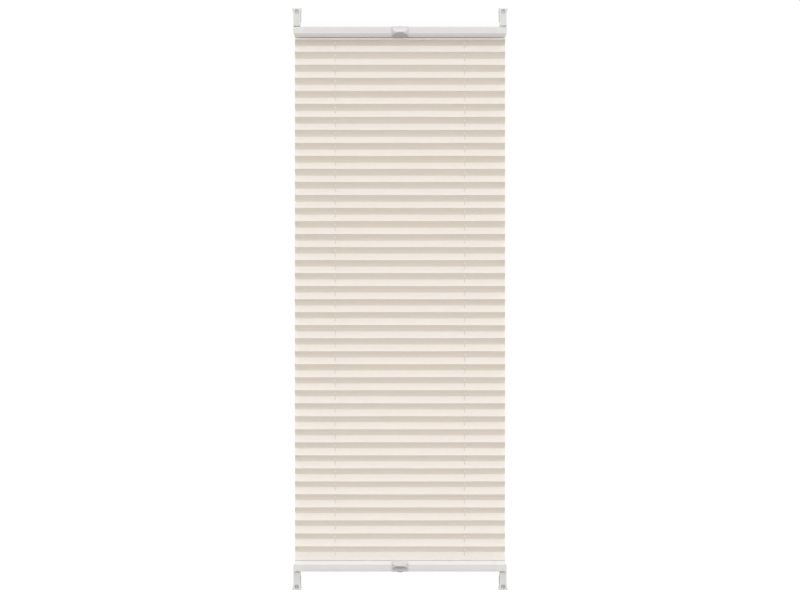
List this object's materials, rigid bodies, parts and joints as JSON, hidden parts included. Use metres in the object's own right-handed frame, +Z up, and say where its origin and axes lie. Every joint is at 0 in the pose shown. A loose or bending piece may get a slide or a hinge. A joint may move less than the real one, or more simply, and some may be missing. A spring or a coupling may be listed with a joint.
{
  "type": "pleated blind",
  "caption": "Pleated fabric blind with top and bottom sliding rails on two tension cords, held by clamps on a window sash.",
  "frame": {"origin": "Centre of the blind: midway between the ends of the rails, midway between the upper and lower clamps, in the plane of the tension cords. The room face of the sash lies 13.5 mm behind it.", "axes": "+X along the rails, to the right as seen from the room; -Y towards the room; +Z up."},
  "size_m": [0.5046, 0.0569, 1.3648],
  "materials": {
    "powder_coated_aluminium": "satin",
    "white_moulding": "satin",
    "clamp_moulding": "satin",
    "inner_moulding": "matte",
    "coated_steel": "satin",
    "zinc_plated_steel": "satin",
    "grey_rubber": "matte",
    "pleated_polyester": "matte",
    "polyester_cord": "matte"
  },
  "bodies": {
    "frame": {"pleated_fabric": "pleated_polyester", "left_tension_cord": "polyester_cord", "right_tension_cord": "polyester_cord", "top_left_clamp_body": "clamp_moulding", "top_left_clamp_pad": "grey_rubber", "top_left_cord_shoe": "clamp_moulding", "top_right_clamp_body": "clamp_moulding", "top_right_clamp_pad": "grey_rubber", "top_right_cord_shoe": "clamp_moulding", "bottom_left_clamp_body": "clamp_moulding", "bottom_left_clamp_pad": "grey_rubber", "bottom_left_cord_shoe": "clamp_moulding", "bottom_right_clamp_body": "clamp_moulding", "bottom_right_clamp_pad": "grey_rubber", "bottom_right_cord_shoe": "clamp_moulding"},
    "top_rail_assembly": {"top_rail": "powder_coated_aluminium", "top_grip": "white_moulding", "top_fabric_strip": "inner_moulding", "top_left_end_cap": "white_moulding", "top_left_cord_guide": "inner_moulding", "top_right_end_cap": "white_moulding", "top_right_cord_guide": "inner_moulding"},
    "top_left_jaw": {"top_left_clamp_hook": "coated_steel", "top_left_hook_pad": "grey_rubber"},
    "top_left_screw": {"top_left_clamp_screw": "zinc_plated_steel", "top_left_screw_retainer": "zinc_plated_steel"},
    "top_right_jaw": {"top_right_clamp_hook": "coated_steel", "top_right_hook_pad": "grey_rubber"},
    "top_right_screw": {"top_right_clamp_screw": "zinc_plated_steel", "top_right_screw_retainer": "zinc_plated_steel"},
    "bottom_rail_assembly": {"bottom_rail": "powder_coated_aluminium", "bottom_grip": "white_moulding", "bottom_fabric_strip": "inner_moulding", "bottom_left_end_cap": "white_moulding", "bottom_left_cord_guide": "inner_moulding", "bottom_right_end_cap": "white_moulding", "bottom_right_cord_guide": "inner_moulding"},
    "bottom_left_jaw": {"bottom_left_clamp_hook": "coated_steel", "bottom_left_hook_pad": "grey_rubber"},
    "bottom_left_screw": {"bottom_left_clamp_screw": "zinc_plated_steel", "bottom_left_screw_retainer": "zinc_plated_steel"},
    "bottom_right_jaw": {"bottom_right_clamp_hook": "coated_steel", "bottom_right_hook_pad": "grey_rubber"},
    "bottom_right_screw": {"bottom_right_clamp_screw": "zinc_plated_steel", "bottom_right_screw_retainer": "zinc_plated_steel"}
  },
  "joints": [
    {"name": "top_rail_slide", "type": "slide", "parent": "frame", "child": "top_rail_assembly", "axis": [0, 0, -1], "range_m": [0, 0.59], "deforming": ["pleated_fabric", "left_tension_cord", "right_tension_cord"]},
    {"name": "bottom_rail_slide", "type": "slide", "parent": "frame", "child": "bottom_rail_assembly", "axis": [0, 0, 1], "range_m": [0, 0.59], "deforming": ["pleated_fabric", "left_tension_cord", "right_tension_cord"]},
    {"name": "top_left_screw_turn", "type": "hinge", "parent": "frame", "child": "top_left_screw", "pos_m": [-0.242, 0, 0.67436], "axis": [0, 1, 0], "range_deg": [-2572, 2572]},
    {"name": "top_left_jaw_slide", "type": "slide", "parent": "frame", "child": "top_left_jaw", "axis": [0, 1, 0], "range_m": [-0.005, 0.005]},
    {"name": "top_right_screw_turn", "type": "hinge", "parent": "frame", "child": "top_right_screw", "pos_m": [0.242, 0, 0.67436], "axis": [0, 1, 0], "range_deg": [-2572, 2572]},
    {"name": "top_right_jaw_slide", "type": "slide", "parent": "frame", "child": "top_right_jaw", "axis": [0, 1, 0], "range_m": [-0.005, 0.005]},
    {"name": "bottom_left_screw_turn", "type": "hinge", "parent": "frame", "child": "bottom_left_screw", "pos_m": [-0.242, 0, -0.67436], "axis": [0, 1, 0], "range_deg": [-2572, 2572]},
    {"name": "bottom_left_jaw_slide", "type": "slide", "parent": "frame", "child": "bottom_left_jaw", "axis": [0, 1, 0], "range_m": [-0.005, 0.005]},
    {"name": "bottom_right_screw_turn", "type": "hinge", "parent": "frame", "child": "bottom_right_screw", "pos_m": [0.242, 0, -0.67436], "axis": [0, 1, 0], "range_deg": [-2572, 2572]},
    {"name": "bottom_right_jaw_slide", "type": "slide", "parent": "frame", "child": "bottom_right_jaw", "axis": [0, 1, 0], "range_m": [-0.005, 0.005]}
  ],
  "couplings": [
    {"joint": "top_left_screw_turn", "follows": "top_left_jaw_slide", "rad_per_m": -8976},
    {"joint": "top_right_screw_turn", "follows": "top_right_jaw_slide", "rad_per_m": -8976},
    {"joint": "bottom_left_screw_turn", "follows": "bottom_left_jaw_slide", "rad_per_m": -8976},
    {"joint": "bottom_right_screw_turn", "follows": "bottom_right_jaw_slide", "rad_per_m": -8976}
  ]
}
